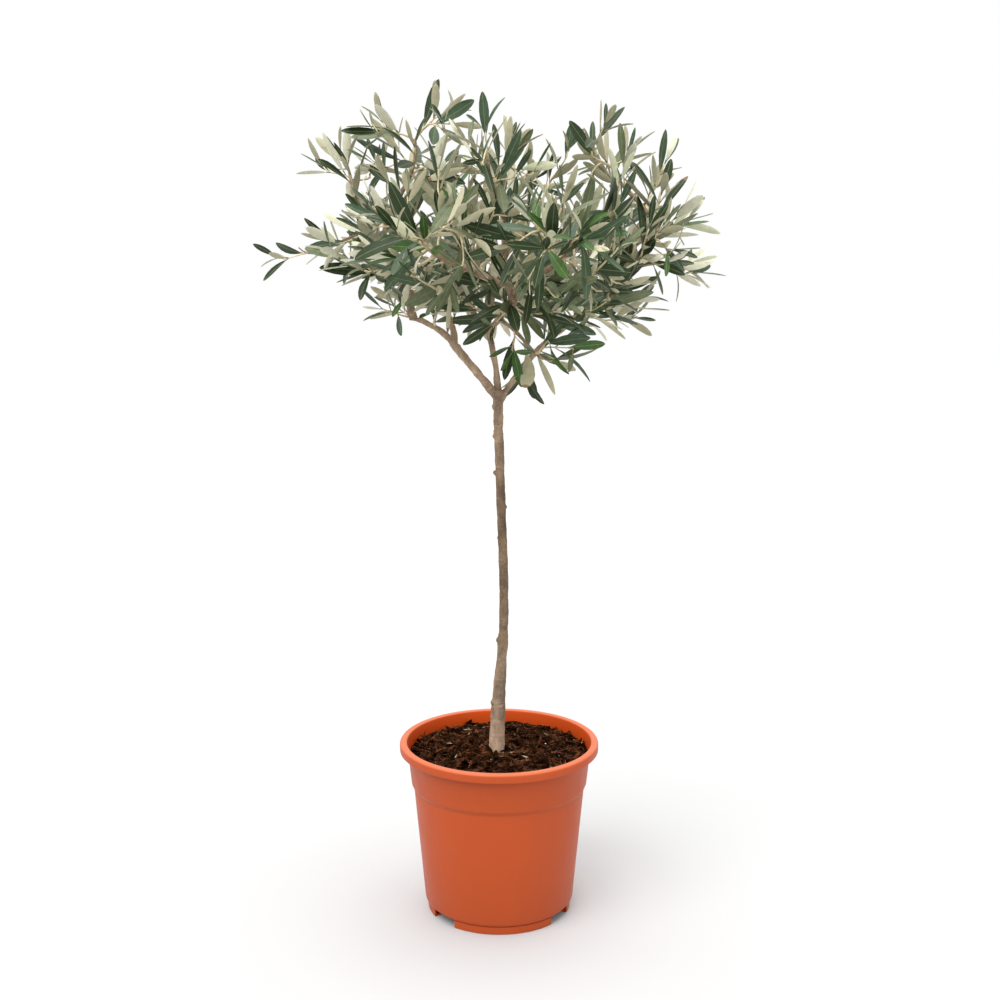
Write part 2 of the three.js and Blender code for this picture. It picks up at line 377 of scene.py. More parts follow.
class Finish:
    """A material whose patterns read Object coordinates."""

    def __init__(self, name, roughness, specular=0.5):
        self.material = bpy.data.materials.new(name)
        self.material.use_nodes = True
        self.nodes = self.material.node_tree.nodes
        self.links = self.material.node_tree.links
        self.shader = self.nodes["Principled BSDF"]
        self.shader.inputs["Roughness"].default_value = roughness
        self.shader.inputs["Specular IOR Level"].default_value = specular
        self.place = self.nodes.new("ShaderNodeTexCoord").outputs["Object"]

    def add(self, kind, inputs, output):
        """Adds a node, links or sets its inputs, and returns one of its outputs."""
        node = self.nodes.new("ShaderNode" + kind)
        for name, value in inputs.items():
            self.feed(node.inputs[name], value)
        return node.outputs[output]

    def feed(self, socket, value):
        if isinstance(value, bpy.types.NodeSocket):
            self.links.new(value, socket)
        else:
            socket.default_value = value

    def stretched(self, scale):
        return self.add("Mapping", {"Vector": self.place, "Scale": scale}, "Vector")

    def noise(self, scale, detail=4.0, stretch=(1, 1, 1), roughness=0.55):
        settings = {"Scale": scale, "Detail": detail, "Roughness": roughness}
        return self.add("TexNoise", {"Vector": self.stretched(stretch), **settings}, "Fac")

    def cells(self, scale, stretch):
        return self.add("TexVoronoi", {"Vector": self.stretched(stretch), "Scale": scale}, "Distance")

    def ramp(self, value, stops):
        """Colours by value: stops are (position, colour) pairs."""
        ramp = self.nodes.new("ShaderNodeValToRGB")
        elements = ramp.color_ramp.elements
        while len(elements) < len(stops):
            elements.new(0.5)
        for element, (position, shade) in zip(elements, stops):
            element.position = position
            element.color = (*shade, 1)
        self.links.new(value, ramp.inputs["Fac"])
        return ramp.outputs["Color"]

    def span(self, value, low, high, start=0.3, end=0.7):
        """Maps the middle of a pattern's range to the numbers low to high."""
        limits = {"From Min": start, "From Max": end, "To Min": low, "To Max": high}
        return self.add("MapRange", {"Value": value, **limits}, "Result")

    def height(self):
        return self.add("SeparateXYZ", {"Vector": self.place}, "Z")

    def mix(self, factor, first, second, blend="MIX"):
        """Mixes a pattern's colours with a second colour or pattern, wholly if the factor is None."""
        node = self.nodes.new("ShaderNodeMix")
        node.data_type = "RGBA"
        node.blend_type = blend
        self.feed(node.inputs["Factor"], 1.0 if factor is None else factor)
        self.feed(node.inputs[COLOUR_A], first)
        plain = not isinstance(second, bpy.types.NodeSocket)
        self.feed(node.inputs[COLOUR_B], (*second, 1) if plain else second)
        return node.outputs[MIXED_COLOUR]

    def colour(self, output):
        self.links.new(output, self.shader.inputs["Base Color"])

    def roughness(self, output):
        self.links.new(output, self.shader.inputs["Roughness"])

    def bump(self, height, distance):
        """Adds a relief on top of those already there."""
        inputs = {"Strength": 1.0, "Distance": distance, "Height": height}
        normal = self.shader.inputs["Normal"]
        if normal.links:
            inputs["Normal"] = normal.links[0].from_socket
        self.links.new(self.add("Bump", inputs, "Normal"), normal)


def shade(tint, factor):
    return tuple(min(1.0, part * factor) for part in tint)


def greys(*stops):
    """A ramp's stops in grey, from pairs of position and tone."""
    return [(position, (tone,) * 3) for position, tone in stops]


# ---- Pot ----
def arc(radius, height, size, start, end, steps):
    """Points of an arc in the plane of radius and height, from one angle in degrees to another."""
    turns = [math.radians(start + (end - start) * i / steps) for i in range(steps + 1)]
    return [(radius + size * math.cos(turn), height + size * math.sin(turn)) for turn in turns]


def pot_profile(s):
    """The rings of the shell above its foot: up the outside, over the rim and down the inside."""
    rim, top = POT_HIGH.x, POT_HIGH.z
    skirt = top - s.rim_height
    rim_in = rim - s.wall
    turn = s.rim_round
    foot, low = s.foot_radius, s.foot_height
    wall = s.wall_bottom
    shoulder, step = s.shoulder_radius, s.collar_bottom - s.step
    collar, seam = s.collar_radius, s.collar_bottom
    neck, neck_in = s.neck_radius, s.neck_radius - s.wall
    lip = s.lip_radius
    slope = (shoulder - wall) / (step - low)
    ease = 0.0045  # height of the curve from the foot into the wall
    return [
        (foot - 0.0009, low - 0.0004),
        (foot - 0.0007, low + 0.0002),
        (wall - 0.0013, low + 0.0009),
        (wall - 0.0002, low + 0.0024),
        (wall + slope * ease, low + ease),
        (shoulder - slope * 0.0012, step - 0.0012),
        (shoulder - 0.0003, step - 0.0002),
        (shoulder - 0.0001, step + 0.0008),
        (shoulder + 0.0009, step + 0.0022),
        (collar - 0.0006, seam - 0.0018),
        (collar - 0.0001, seam - 0.0006),
        (collar, seam + 0.0006),
        (neck, skirt),
        (neck + 0.0003, top - 0.0085),
        (neck + 0.0016, top - 0.0062),
        (neck + 0.0034, top - 0.0042),
        (rim_in - 0.0006, top - 0.0030),
        (rim_in, skirt + 0.0003),
        (rim_in + 0.0003, skirt),
        (rim - 0.0008, skirt),
        (rim - 0.0001, skirt + 0.0007),
        *arc(rim - turn, top - turn, turn, 0, 90, 4),
        (lip + 0.0014, top),
        (lip + 0.0007, top - 0.0003),
        (lip + 0.0002, top - 0.0009),
        (lip - 0.0002, top - 0.0018),
        (lip - 0.0006, top - 0.0032),
        (neck_in + 0.0008, top - 0.0065),
        (neck_in + 0.0002, top - 0.0105),
        (collar - s.wall, seam),
        (shoulder - s.wall, step),
        (wall - s.wall, low + 0.0014),
        (foot - s.wall, low),
        (foot - s.wall, s.floor),
    ]


def raise_cap(rings, radius, height):
    """In edit mode, extrudes the selected cap through rings of given radius and height."""
    for next_radius, next_height in rings:
        lift = (0, 0, next_height - height)
        bpy.ops.mesh.extrude_region_move(TRANSFORM_OT_translate={"value": lift})
        ratio = next_radius / radius
        bpy.ops.transform.resize(value=(ratio, ratio, 1), center_override=(0, 0, next_height))
        radius, height = next_radius, next_height


def pot_underside(pot):
    """Rounds the foot's edge and sinks the middle of the underside round a flat hub."""
    ring_width, hub_inset, sunk = 0.0075, 0.0380, 0.0012
    choose(pot, "EDGE", lambda e: all(v.co.z < 1e-5 for v in e.verts))
    bpy.ops.mesh.bevel(offset=0.0009, segments=3, affect="EDGES")
    for inset, sink in ((ring_width, sunk), (hub_inset, -sunk)):
        choose(pot, "FACE", lambda f: faces_down(f) and f.calc_center_median().xy.length < 1e-4)
        bpy.ops.mesh.inset(thickness=inset)
        bpy.ops.mesh.extrude_region_move(TRANSFORM_OT_translate={"value": (0, 0, sink)})
        bpy.ops.transform.resize(value=(0.985, 0.985, 1), center_override=(0, 0, 0))


def cut_notches(pot, s):
    """Cuts the drainage notches through the foot."""
    past_wall, past_foot = 0.006, 0.0008
    reach = s.foot_radius - s.notch_depth
    outer = s.wall_bottom + past_wall
    width = 2 * outer * math.tan(s.notch_width / 2)
    for bearing in s.notch_bearings:
        middle = (reach + outer) / 2
        cutter = add_primitive(
            "notch_cutter",
            bpy.ops.mesh.primitive_cube_add,
            size=1,
            location=(middle * math.cos(bearing), middle * math.sin(bearing), 0),
            rotation=(0, 0, bearing),
            scale=(outer - reach, width, 2 * s.foot_height + past_foot),
        )
        with edit_mode():
            choose(cutter, "EDGE", lambda e: all(v.co.z > 0 for v in e.verts))
            bpy.ops.mesh.bevel(offset=0.0012, segments=3, affect="EDGES")
        apply_modifier(pot, "BOOLEAN", operation="DIFFERENCE", solver="EXACT", object=cutter)
        bpy.data.objects.remove(cutter)


SHARPEST_CURVE = 32  # degrees between faces that still shade as one surface


def make_pot(s):
    """The shell, from a low cylinder whose top is extruded up the wall, over the rim and down."""
    foot = s.foot_height - 0.0010
    pot = add_primitive(
        "nursery_pot",
        bpy.ops.mesh.primitive_cylinder_add,
        vertices=s.segments,
        radius=s.foot_radius,
        depth=foot,
        location=(0, 0, foot / 2),
    )
    apply_place(pot)
    with edit_mode():
        choose(pot, "FACE", faces_up)
        raise_cap(pot_profile(s), s.foot_radius, foot)
        pot_underside(pot)
        clean_normals()
    cut_notches(pot, s)
    make_active(pot)
    bpy.ops.object.shade_smooth_by_angle(angle=math.radians(SHARPEST_CURVE))
    for face in pot.data.polygons:
        facing_in = face.normal.xy.dot(face.center.xy) < 0 and face.normal.z < 0.5
        face.material_index = int(facing_in and face.center.z > s.floor)
    return pot


GRAIN_SCALE, GRAIN_DEPTH = 1500, 0.00004
# Painted highlight on the rim's top edge: it fades in between these distances below the top.
RIM_HIGHLIGHT_FROM, RIM_HIGHLIGHT_TO = 0.0022, 0.0002  # distances below the rim's top


def inside_glow_finish(s):
    """The wall inside, which little has rubbed, in a brighter and redder copy of the plastic: painted
    glow of light shining through the thin wall.
    """
    finish = Finish("moulded_plastic_inside", 0.5, specular=0.1)
    flow = finish.noise(9, detail=3, stretch=(1, 1, 0.35))
    inside = s.plastic_inside_glow
    finish.colour(finish.ramp(flow, [(0.32, shade(inside, 0.92)), (0.72, shade(inside, 1.06))]))
    finish.bump(finish.noise(GRAIN_SCALE, detail=2), GRAIN_DEPTH)
    return finish.material


def plastic_finish(s):
    """Satin moulded plastic: faint flow marks, rubbed patches, a painted highlight on the rim's top
    edge, and a fine grain.
    """
    finish = Finish("moulded_plastic", 0.42, specular=0.28)
    flow = finish.noise(7, detail=3, stretch=(1, 1, 0.35))
    scuffs = finish.noise(46, detail=8, stretch=(1, 1, 0.5), roughness=0.7)
    stops = [(0.32, shade(s.plastic, 0.95)), (0.52, tuple(s.plastic)), (0.72, shade(s.plastic, 1.05))]
    body = finish.ramp(flow, stops)
    rubbed = finish.ramp(scuffs, greys((0.58, 0), (0.80, 0.55)))
    worn = finish.mix(rubbed, body, tuple(s.plastic_worn))
    # Painted highlight: the top of the rim is mixed towards the pale edge colour.
    top = POT_HIGH.z
    edge = finish.span(finish.height(), 0, 1, start=top - RIM_HIGHLIGHT_FROM, end=top - RIM_HIGHLIGHT_TO)
    finish.colour(finish.mix(edge, worn, tuple(s.plastic_edge_highlight)))
    finish.roughness(finish.span(scuffs, 0.36, 0.52))
    finish.bump(finish.noise(GRAIN_SCALE, detail=2), GRAIN_DEPTH)
    finish.bump(finish.noise(22, detail=2), 0.0004)
    return finish.material


# ---- Compost ----
def make_mound(s, pot):
    """The compost's top, from a disc inset ring by ring, heaped at the trunk and made lumpy."""
    rings, depth, edge_drop, into_wall = 40, 0.02, 0.0015, 0.0002
    still_edge, heap_width, draw_in = 0.004, 0.030, 0.975
    radius = pot.neck_radius - pot.wall + into_wall
    top = SOIL_HIGH.z - edge_drop
    mound = add_primitive(
        "compost",
        bpy.ops.mesh.primitive_cylinder_add,
        vertices=128,
        radius=radius,
        depth=depth,
        location=(0, 0, top - depth / 2),
    )
    apply_place(mound)
    with edit_mode():
        choose(mound, "FACE", faces_down)
        bpy.ops.transform.resize(value=(draw_in, draw_in, 1), center_override=(0, 0, top - depth))
        choose(mound, "FACE", faces_up)
        for _ in range(rings):
            bpy.ops.mesh.inset(thickness=radius / (rings + 1))
    surface = mound.vertex_groups.new(name="surface")
    for vertex in mound.data.vertices:
        out = vertex.co.xy.length
        if vertex.co.z > top - 1e-4:
            surface.add([vertex.index], min(1.0, (radius - out) / still_edge), "REPLACE")
            vertex.co.z += s.heap * math.exp(-((out / heap_width) ** 2))
    displace(mound, 0.013, s.lumps, group="surface")
    displace(mound, 0.004, s.lumps * 0.4, group="surface")
    return mound


TRUNK_ROOM, WALL_ROOM = 0.009, 0.0022


def resting_places(mound, count, rng):
    """Random places on the compost, clear of trunk and wall, and the surface's normals there."""
    tree = surface_tree(mound.data)
    radius = max(v.co.xy.length for v in mound.data.vertices) - WALL_ROOM
    places = []
    while len(places) < count:
        spot = rng.uniform(-radius, radius, 2)
        if TRUNK_ROOM < np.hypot(*spot) < radius:
            hit, normal, _, _ = tree.ray_cast(Vector((*spot, POT_HIGH.z)), Vector((0, 0, -1)))
            if hit is not None and normal.z > 0.2:
                places.append((np.array(hit), np.array(normal)))
    return places


def kept_inside(points, radius):
    """Points drawn in so that none is further than a radius from the pot's axis."""
    out = np.hypot(points[:, 0], points[:, 1])
    points[:, :2] *= np.minimum(1.0, radius / out)[:, None]
    return points


def lying_axes(normal, rng, tilt):
    """Three axes of a thing that lies on a surface, turned and tipped at random."""
    upright = unit(normal + rng.normal(0, tilt, 3))
    along = unit(np.cross(upright, rng.normal(0, 1, 3)))
    return np.stack([along, np.cross(upright, along), upright])


def scatter_chips(name, places, reach, rng, halves, breadths, rough=0.17, sink=0.3):
    """Uneven flakes laid on the surface and joined, all within a reach of the pot's axis.

    halves are the least and greatest half length, breadths the same for width over length.
    """
    seed_shape = bmesh.new()
    bmesh.ops.create_icosphere(seed_shape, subdivisions=1, radius=1)
    corners = np.array([v.co[:] for v in seed_shape.verts])
    faces = np.array([[v.index for v in f.verts] for f in seed_shape.faces])
    seed_shape.free()
    points, all_faces = [], []
    for number, (place, normal) in enumerate(places):
        axes = lying_axes(normal, rng, 0.26)
        half = halves[0] + (halves[1] - halves[0]) * rng.random() ** 1.6
        breadth = rng.uniform(*breadths)
        size = half * np.array([1.0, breadth, breadth * rng.uniform(0.25, 0.6)])
        flake = corners * (1 + rng.normal(0, rough, corners.shape)) * size
        points.append(kept_inside(place + flake @ axes + normal * size[2] * (1 - sink * 2), reach))
        all_faces.append(faces + number * len(corners))
    return piece_from_arrays(name, np.concatenate(points), np.concatenate(all_faces).tolist())


def scatter_strands(name, places, reach, rng, lengths, radii, bend):
    """Thin curved strands laid on the surface and joined, all within a reach of the pot's axis."""
    points, faces = [], []
    for place, normal in places:
        axes = lying_axes(normal, rng, 0.22)
        curl = rng.uniform(0.2, 1) * bend * rng.choice([-1, 1])
        turn = np.linspace(-0.5, 0.5, 6)
        line = np.stack([np.sin(curl * turn), 1 - np.cos(curl * turn), 0 * turn], axis=1) / curl
        line = place + line * rng.uniform(*lengths) @ axes + normal * rng.uniform(0.0005, 0.0015)
        line = kept_inside(line, reach - radii[1])
        thickness = rng.uniform(*radii) * np.sin(np.linspace(0.35, math.pi - 0.2, 6))
        add_tube(points, faces, line, thickness, 4)
    return piece_from_arrays(name, np.concatenate(points), faces)


def compost_finish(name, tints, glint):
    """Damp bark and peat: mottled, fibrous and matte with a few wet glints."""
    finish = Finish(name, 0.9, specular=0.0)
    mottle = finish.noise(170, detail=7, roughness=0.75)
    stops = [(0.34 + 0.16 * i, tint) for i, tint in enumerate(tints)]
    # Dark and bright patches at random: partly the compost's own uneven colour, partly painted shade
    # of the gaps between lumps and painted light on their tops.
    lumps = finish.ramp(finish.noise(75, detail=4), greys((0.40, 0.35), (0.62, 1.7)))
    finish.colour(finish.mix(None, finish.ramp(mottle, stops), lumps, blend="MULTIPLY"))
    finish.roughness(finish.span(finish.noise(160, detail=3), glint, 0.95))
    finish.bump(finish.noise(900, detail=6, stretch=(1, 0.4, 1)), 0.0006)
    return finish.material


# ---- Trunk and boughs ----
def limb_line(node, stations):
    """Centres and radii of a limb's sections, root first, measured on its solid."""
    solid = bmesh.new()
    solid.from_mesh(frame["nodes"][node].data)
    bmesh.ops.remove_doubles(solid, verts=solid.verts, dist=1e-6)
    points = np.array([v.co[:] for v in solid.verts])
    middle = points.mean(0)
    axis = np.linalg.svd(points - middle, full_matrices=False)[2][0]
    axis = axis * np.sign(axis[2])
    along = (points - middle) @ axis
    span = along.max() - along.min()
    margin = 0.06
    centres, radii = [], []
    for share in np.linspace(margin, 1 - margin, stations):
        at = middle + axis * (along.min() + span * share)
        sliced = solid.copy()
        parts = sliced.verts[:] + sliced.edges[:] + sliced.faces[:]
        cut = bmesh.ops.bisect_plane(sliced, geom=parts, plane_co=at, plane_no=axis)["geom_cut"]
        section = np.array([item.co[:] for item in cut if isinstance(item, bmesh.types.BMVert)])
        centres.append((section.min(0) + section.max(0)) / 2)
        radii.append(np.linalg.norm(section - section.mean(0), axis=1).mean())
        sliced.free()
    solid.free()
    return extended(np.array(centres), np.array(radii), span * margin, span * margin)


def extended(centres, radii, before, after, root_widening=1.0):
    """A limb's line with a stretch added past each end."""
    first = centres[0] - unit(centres[1] - centres[0]) * before
    last = centres[-1] + unit(centres[-1] - centres[-2]) * after
    grown = radii.copy()
    grown[0] *= root_widening
    return (
        np.vstack([first, centres, last]),
        np.concatenate([[grown[0] * root_widening], grown, [radii[-1]]]),
    )


def extrude_limb(name, centres, radii, sides=20):
    """A disc extruded from section to section along a limb."""
    chord = Vector(centres[-1] - centres[0])
    limb = add_primitive(
        name,
        bpy.ops.mesh.primitive_circle_add,
        vertices=sides,
        radius=radii[0],
        fill_type="NGON",
        location=centres[0],
        rotation=chord.to_track_quat("Z", "Y").to_euler(),
    )
    apply_place(limb)
    with edit_mode():
        bpy.ops.mesh.select_mode(type="FACE")
        bpy.ops.mesh.select_all(action="SELECT")
        for index in range(1, len(centres)):
            step = centres[index] - centres[index - 1]
            ratio = radii[index] / radii[index - 1]
            bpy.ops.mesh.extrude_region_move(TRANSFORM_OT_translate={"value": step})
            bpy.ops.transform.resize(value=(ratio,) * 3, center_override=centres[index])
        clean_normals()
    return limb


# Healed knots and stubs on the trunk: share of its height, bearing in degrees, length and radius.
STUBS = [
    (0.060, -150, 0.0004, 0.0034),
    (0.105, -165, 0.0008, 0.0036),
    (0.095, -70, 0.0002, 0.0030),
    (0.297, 176, 0.0018, 0.0027),
    (0.610, 178, 0.0008, 0.0024),
    (0.800, 178, 0.0030, 0.0026),
    (0.913, -172, 0.0014, 0.0038),
    (0.925, -115, 0.0002, 0.0036),
    (0.985, -135, 0.0006, 0.0042),
    (0.455, 60, 0.0022, 0.0025),
    (0.700, 20, 0.0016, 0.0026),
    (0.850, 95, 0.0026, 0.0026),
]


def trunk_stubs(centres, radii):
    """The stubs, each a short tapered peg that leans up out of the trunk."""
    stubs = []
    for number, (share, bearing, out, radius) in enumerate(STUBS):
        at = share * (len(centres) - 1)
        low = int(at)
        root = centres[low] + (centres[low + 1] - centres[low]) * (at - low)
        turn = math.radians(bearing)
        way = unit(np.array([math.cos(turn), math.sin(turn), 0.45]))
        reach = np.array([0, radii[low] * 0.9, radii[low] + out * 0.6, radii[low] + out])
        peg_radii = radius * np.array([1.3, 1.15, 0.85, 0.5])
        stubs.append(extrude_limb(f"stub_{number}", root + np.outer(reach, way), peg_radii, sides=10))
    return stubs


TRUNK_SECTIONS, BOUGH_SECTIONS = 44, 12
FLARE_FADE = 0.03
INTO_TRUNK, INTO_CROWN = 0.0025, 0.003


def make_bark(s):
    """Trunk, boughs and stubs grown into one skin, with the bark's folds raised on it."""
    rng = np.random.default_rng(s.seed)
    centres, radii = limb_line("trunk", TRUNK_SECTIONS)
    radii = radii * rng.normal(1, s.knobbly, len(radii))
    radii *= 1 + s.foot_swell * np.exp(-(centres[:, 2] - centres[0, 2]) / FLARE_FADE)
    stubs = trunk_stubs(centres, radii)
    limbs = [extrude_limb("trunk_core", *extended(centres, radii, s.sunk, 0.002))]
    for bough in BOUGHS:
        centres, radii = limb_line(bough, BOUGH_SECTIONS)
        radii = radii * rng.normal(1, s.knobbly, len(radii))
        line = extended(centres, radii, INTO_TRUNK, INTO_CROWN, root_widening=s.collar ** 0.5)
        limbs.append(extrude_limb(bough + "_core", *line))
    make_active(limbs[0])
    for piece in [*limbs[1:], *stubs]:
        piece.select_set(True)
    bpy.ops.object.join()
    bark = bpy.context.object
    bark.name = bark.data.name = "bark"
    bark.data.remesh_voxel_size = s.voxel
    bpy.ops.object.voxel_remesh()
    apply_modifier(bark, "SMOOTH", factor=0.5, iterations=3)
    displace(bark, 0.007, s.relief, stretch=(1, 1, 2.6))
    displace(bark, 0.0021, s.relief * 0.55, stretch=(1, 1, 3.5))
    displace(bark, 0.0016, s.relief * 0.30, stretch=(2.5, 2.5, 1))
    make_active(bark)
    bpy.ops.object.shade_smooth()
    return bark


def bark_finish(s):
    """Young olive bark: paler at the foot and the fork, with folds, fine rings and pale scars."""
    finish = Finish("bark", 0.8, specular=0.25)
    height = finish.span(finish.height(), 0, 1, start=SOIL_HIGH.z, end=SOIL_HIGH.z + 0.43)
    tints = [(0.0, s.foot), (0.15, s.low), (0.42, s.middle), (0.62, s.middle), (0.78, s.high)]
    wood = finish.ramp(height, [(share, tuple(tint)) for share, tint in [*tints, (0.92, s.bough)]])
    streaks = finish.noise(190, detail=5, stretch=(1, 1, 0.45))
    patches = finish.noise(52, detail=4, stretch=(1, 1, 0.6), roughness=0.6)
    rings = finish.noise(70, detail=3, stretch=(0.2, 0.2, 2.0))
    for pattern, stops in (
        (streaks, [(0.34, 0.78), (0.62, 1.12)]),
        (patches, [(0.36, 0.62), (0.50, 0.98), (0.62, 1.28)]),
        (rings, [(0.56, 1.0), (0.60, 1.35), (0.62, 0.72), (0.66, 1.0)]),
        (finish.cells(170, (1, 1, 1.4)), [(0.07, 0.30), (0.15, 1.0)]),
    ):
        wood = finish.mix(None, wood, finish.ramp(pattern, greys(*stops)), blend="MULTIPLY")
    spots = finish.ramp(finish.cells(300, (1, 1, 1.5)), greys((0.10, 0.6), (0.20, 0)))
    finish.colour(finish.mix(spots, wood, tuple(s.scar)))
    finish.roughness(finish.span(streaks, 0.7, 0.9))
    finish.bump(streaks, 0.0008)
    finish.bump(rings, 0.0004)
    finish.bump(finish.noise(1100, detail=4), 0.00025)
    return finish.material


# ---- Twigs ----
class Crown:
    """The masses' outlines: says what is inside the crown."""

    def __init__(self):
        self.trees = {}
        self.volumes = {}
        for name in MASSES:
            self.trees[name] = surface_tree(frame["nodes"][name].data)
            low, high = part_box(name)
            self.volumes[name] = (high - low).x * (high - low).y * (high - low).z

    def depth(self, name, point):
        """How deep a point is inside a mass: negative outside it."""
        nearest, normal, _, distance = self.trees[name].find_nearest(Vector(point))
        inside = (Vector(point) - nearest).dot(normal) < 0
        return distance if inside else -distance

    def holds(self, point, margin=0.0):
        return any(self.depth(name, point) > -margin for name in MASSES)

    def centre(self, name):
        low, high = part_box(name)
        return np.array((low + high) / 2)

    def leafiness(self, point):
        """The share of leaves that live at a point: fewer in the crown's shaded middle."""
        low, high = np.array(CAD_BOX[0]), np.array(CAD_BOX[1])
        low[2] = high[2] - CROWN_HEIGHT
        out = np.linalg.norm((point - (low + high) / 2) / (high - low) * 2)
        shaded, lit, least = 0.30, 0.80, 0.42
        return float(np.interp(out, [shaded, lit], [least, 1.0]))


@dataclass
class Twig:
    """One twig: the points along it, the number of the twig it grows from and at which point."""

    points: np.ndarray
    parent: int = 0
    at: int = 0
    leafy: bool = False
    mass: str = ""
    radii: np.ndarray = None

    def directions(self):
        return unit(np.gradient(self.points, axis=0))


# What makes a starting point a bad one, and how a twig leaves it, arrives and wavers on its way.
TURN_COST, REACH_COST, TOO_CLOSE_COST = 0.55, 0.12, 1.0
KEEP_WAY, TURN_WAY = 0.55, 0.9
LEAVE, ARRIVE, WAVER = 0.36, 0.34, 0.05


class Skeleton:
    """Every point that a new twig may spring from."""

    def __init__(self, rng, step):
        self.rng = rng
        self.step = step
        self.twigs = []
        self.points = np.zeros((0, 3))
        self.directions = np.zeros((0, 3))
        self.reach = np.zeros(0)
        self.owner = np.zeros((0, 2), int)

    def add(self, twig, start_reach, skip):
        self.twigs.append(twig)
        reach = start_reach + distances_along(twig.points)
        chosen = np.arange(skip, len(twig.points))
        self.points = np.vstack([self.points, twig.points[chosen]])
        self.directions = np.vstack([self.directions, twig.directions()[chosen]])
        self.reach = np.concatenate([self.reach, reach[chosen]])
        owners = np.stack([np.full(len(chosen), len(self.twigs) - 1), chosen], axis=1)
        self.owner = np.vstack([self.owner, owners])

    def best_start(self, target, closest):
        """The point from which a twig to the target is short, bends little and is well fed."""
        way = target - self.points
        distance = np.linalg.norm(way, axis=1)
        turn = 1 - (way * self.directions).sum(1) / (distance + 1e-9)
        cost = distance * (1 + TURN_COST * turn ** 2) + REACH_COST * self.reach
        cost[distance < closest] += TOO_CLOSE_COST
        return int(np.argmin(cost))

    def grow(self, target, end_way, closest, leafy, mass):
        """A curved twig from the best starting point to the target."""
        start = self.best_start(target, closest)
        origin = self.points[start]
        span = np.linalg.norm(target - origin)
        start_way = unit(self.directions[start] * KEEP_WAY + unit(target - origin) * TURN_WAY)
        count = max(5, int(span / self.step))
        t = np.linspace(0, 1, count + 1)[:, None]
        first = origin + start_way * span * LEAVE
        second = target - end_way * span * ARRIVE
        near = origin * (1 - t) ** 3 + first * 3 * t * (1 - t) ** 2
        points = near + second * 3 * t ** 2 * (1 - t) + target * t ** 3
        crook = unit(np.cross(end_way, self.rng.normal(0, 1, 3)))
        wave = np.sin(t * math.pi * self.rng.uniform(1.5, 2.6))
        points = points + crook * wave * t * (1 - t) * span * WAVER
        owner, at = self.owner[start]
        self.add(Twig(points, int(owner), int(at), leafy, mass), self.reach[start], skip=2)


def outward(point, mass, rng):
    """The way a shoot faces at its tip: away from the crown's foot, and more upright higher up."""
    if mass == HANGING_MASS:
        return unit(HANGING_WAY + rng.normal(0, 0.4, 3))
    height = (point[2] - CROWN_FOOT[2]) / CROWN_HEIGHT
    rise = 0.1 + 0.9 * min(1.0, height * 1.4)
    return unit(unit(point - CROWN_FOOT) + UP * rise + rng.normal(0, 0.2, 3))


def room_round(tip, chosen):
    """How far a tip is from the nearest of those chosen, at most a metre."""
    return min([1.0, *(np.linalg.norm(tip - other) for other, _ in chosen)])


def shoot_tips(crown, s, rng):
    """Tips spread evenly through each mass, as (mass, tip, way) with the inmost of each first."""
    tries = 7
    total = sum(crown.volumes.values())
    tips = []
    for mass in MASSES:
        count = max(LEAST_SHOOTS.get(mass, 2), round(s.shoots * crown.volumes[mass] / total))
        low, high = (np.array(corner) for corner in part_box(mass))
        chosen = []
        while len(chosen) < count:
            candidates = []
            while len(candidates) < tries:
                tip = rng.uniform(low, high)
                way = outward(tip, mass, rng)
                if crown.depth(mass, tip) > 0 and crown.holds(tip + way * s.inset):
                    candidates.append((tip, way))
            chosen.append(max(candidates, key=lambda item: room_round(item[0], chosen)))
        centre = crown.centre(mass)
        chosen.sort(key=lambda item: np.linalg.norm(item[0] - centre))
        tips += [(mass, tip, way) for tip, way in chosen]
    return tips


PAST_BOUGH, BOUGH_REACH = 0.006, 0.05
LEADER_ROOM, SHOOT_ROOM = 0.02, 0.028  # least lengths of leaders and shoots


def grow_twigs(crown, s):
    """The branching rule: leaders from the boughs to every mass, then shoots to every tip.

    Each grows from the best point of what is there already, to a place drawn at random.
    """
    rng = np.random.default_rng(s.seed)
    skeleton = Skeleton(rng, s.step)
    for bough in BOUGHS:
        centres, _ = extended(*limb_line(bough, 8), 0.0, PAST_BOUGH)
        skeleton.add(Twig(centres), BOUGH_REACH, skip=5)
    roots = len(skeleton.twigs)
    heart = skeleton.points.mean(0)
    order = sorted(MASSES, key=lambda mass: np.linalg.norm(crown.centre(mass) - heart))
    for mass in order:
        centre = crown.centre(mass)
        skeleton.grow(centre, outward(centre, mass, rng), LEADER_ROOM, False, mass)
    for mass, tip, way in shoot_tips(crown, s, rng):
        skeleton.grow(tip, way, SHOOT_ROOM, True, mass)
    thicken(skeleton.twigs, roots, s)
    return skeleton.twigs[roots:]


def thicken(twigs, roots, s):
    """Radii from the tips down: at each fork the twigs' sizes add up."""
    loads = [np.zeros(len(twig.points)) for twig in twigs]
    for number in range(len(twigs) - 1, -1, -1):
        twig = twigs[number]
        from_tip = distances_along(twig.points[::-1])[::-1]
        carried = np.cumsum(loads[number][::-1])[::-1]
        own = s.tip_radius + s.taper * from_tip
        twig.radii = (own ** s.pipe + carried) ** (1 / s.pipe)
        if number >= roots:
            loads[twig.parent][twig.at] += twig.radii[0] ** s.pipe


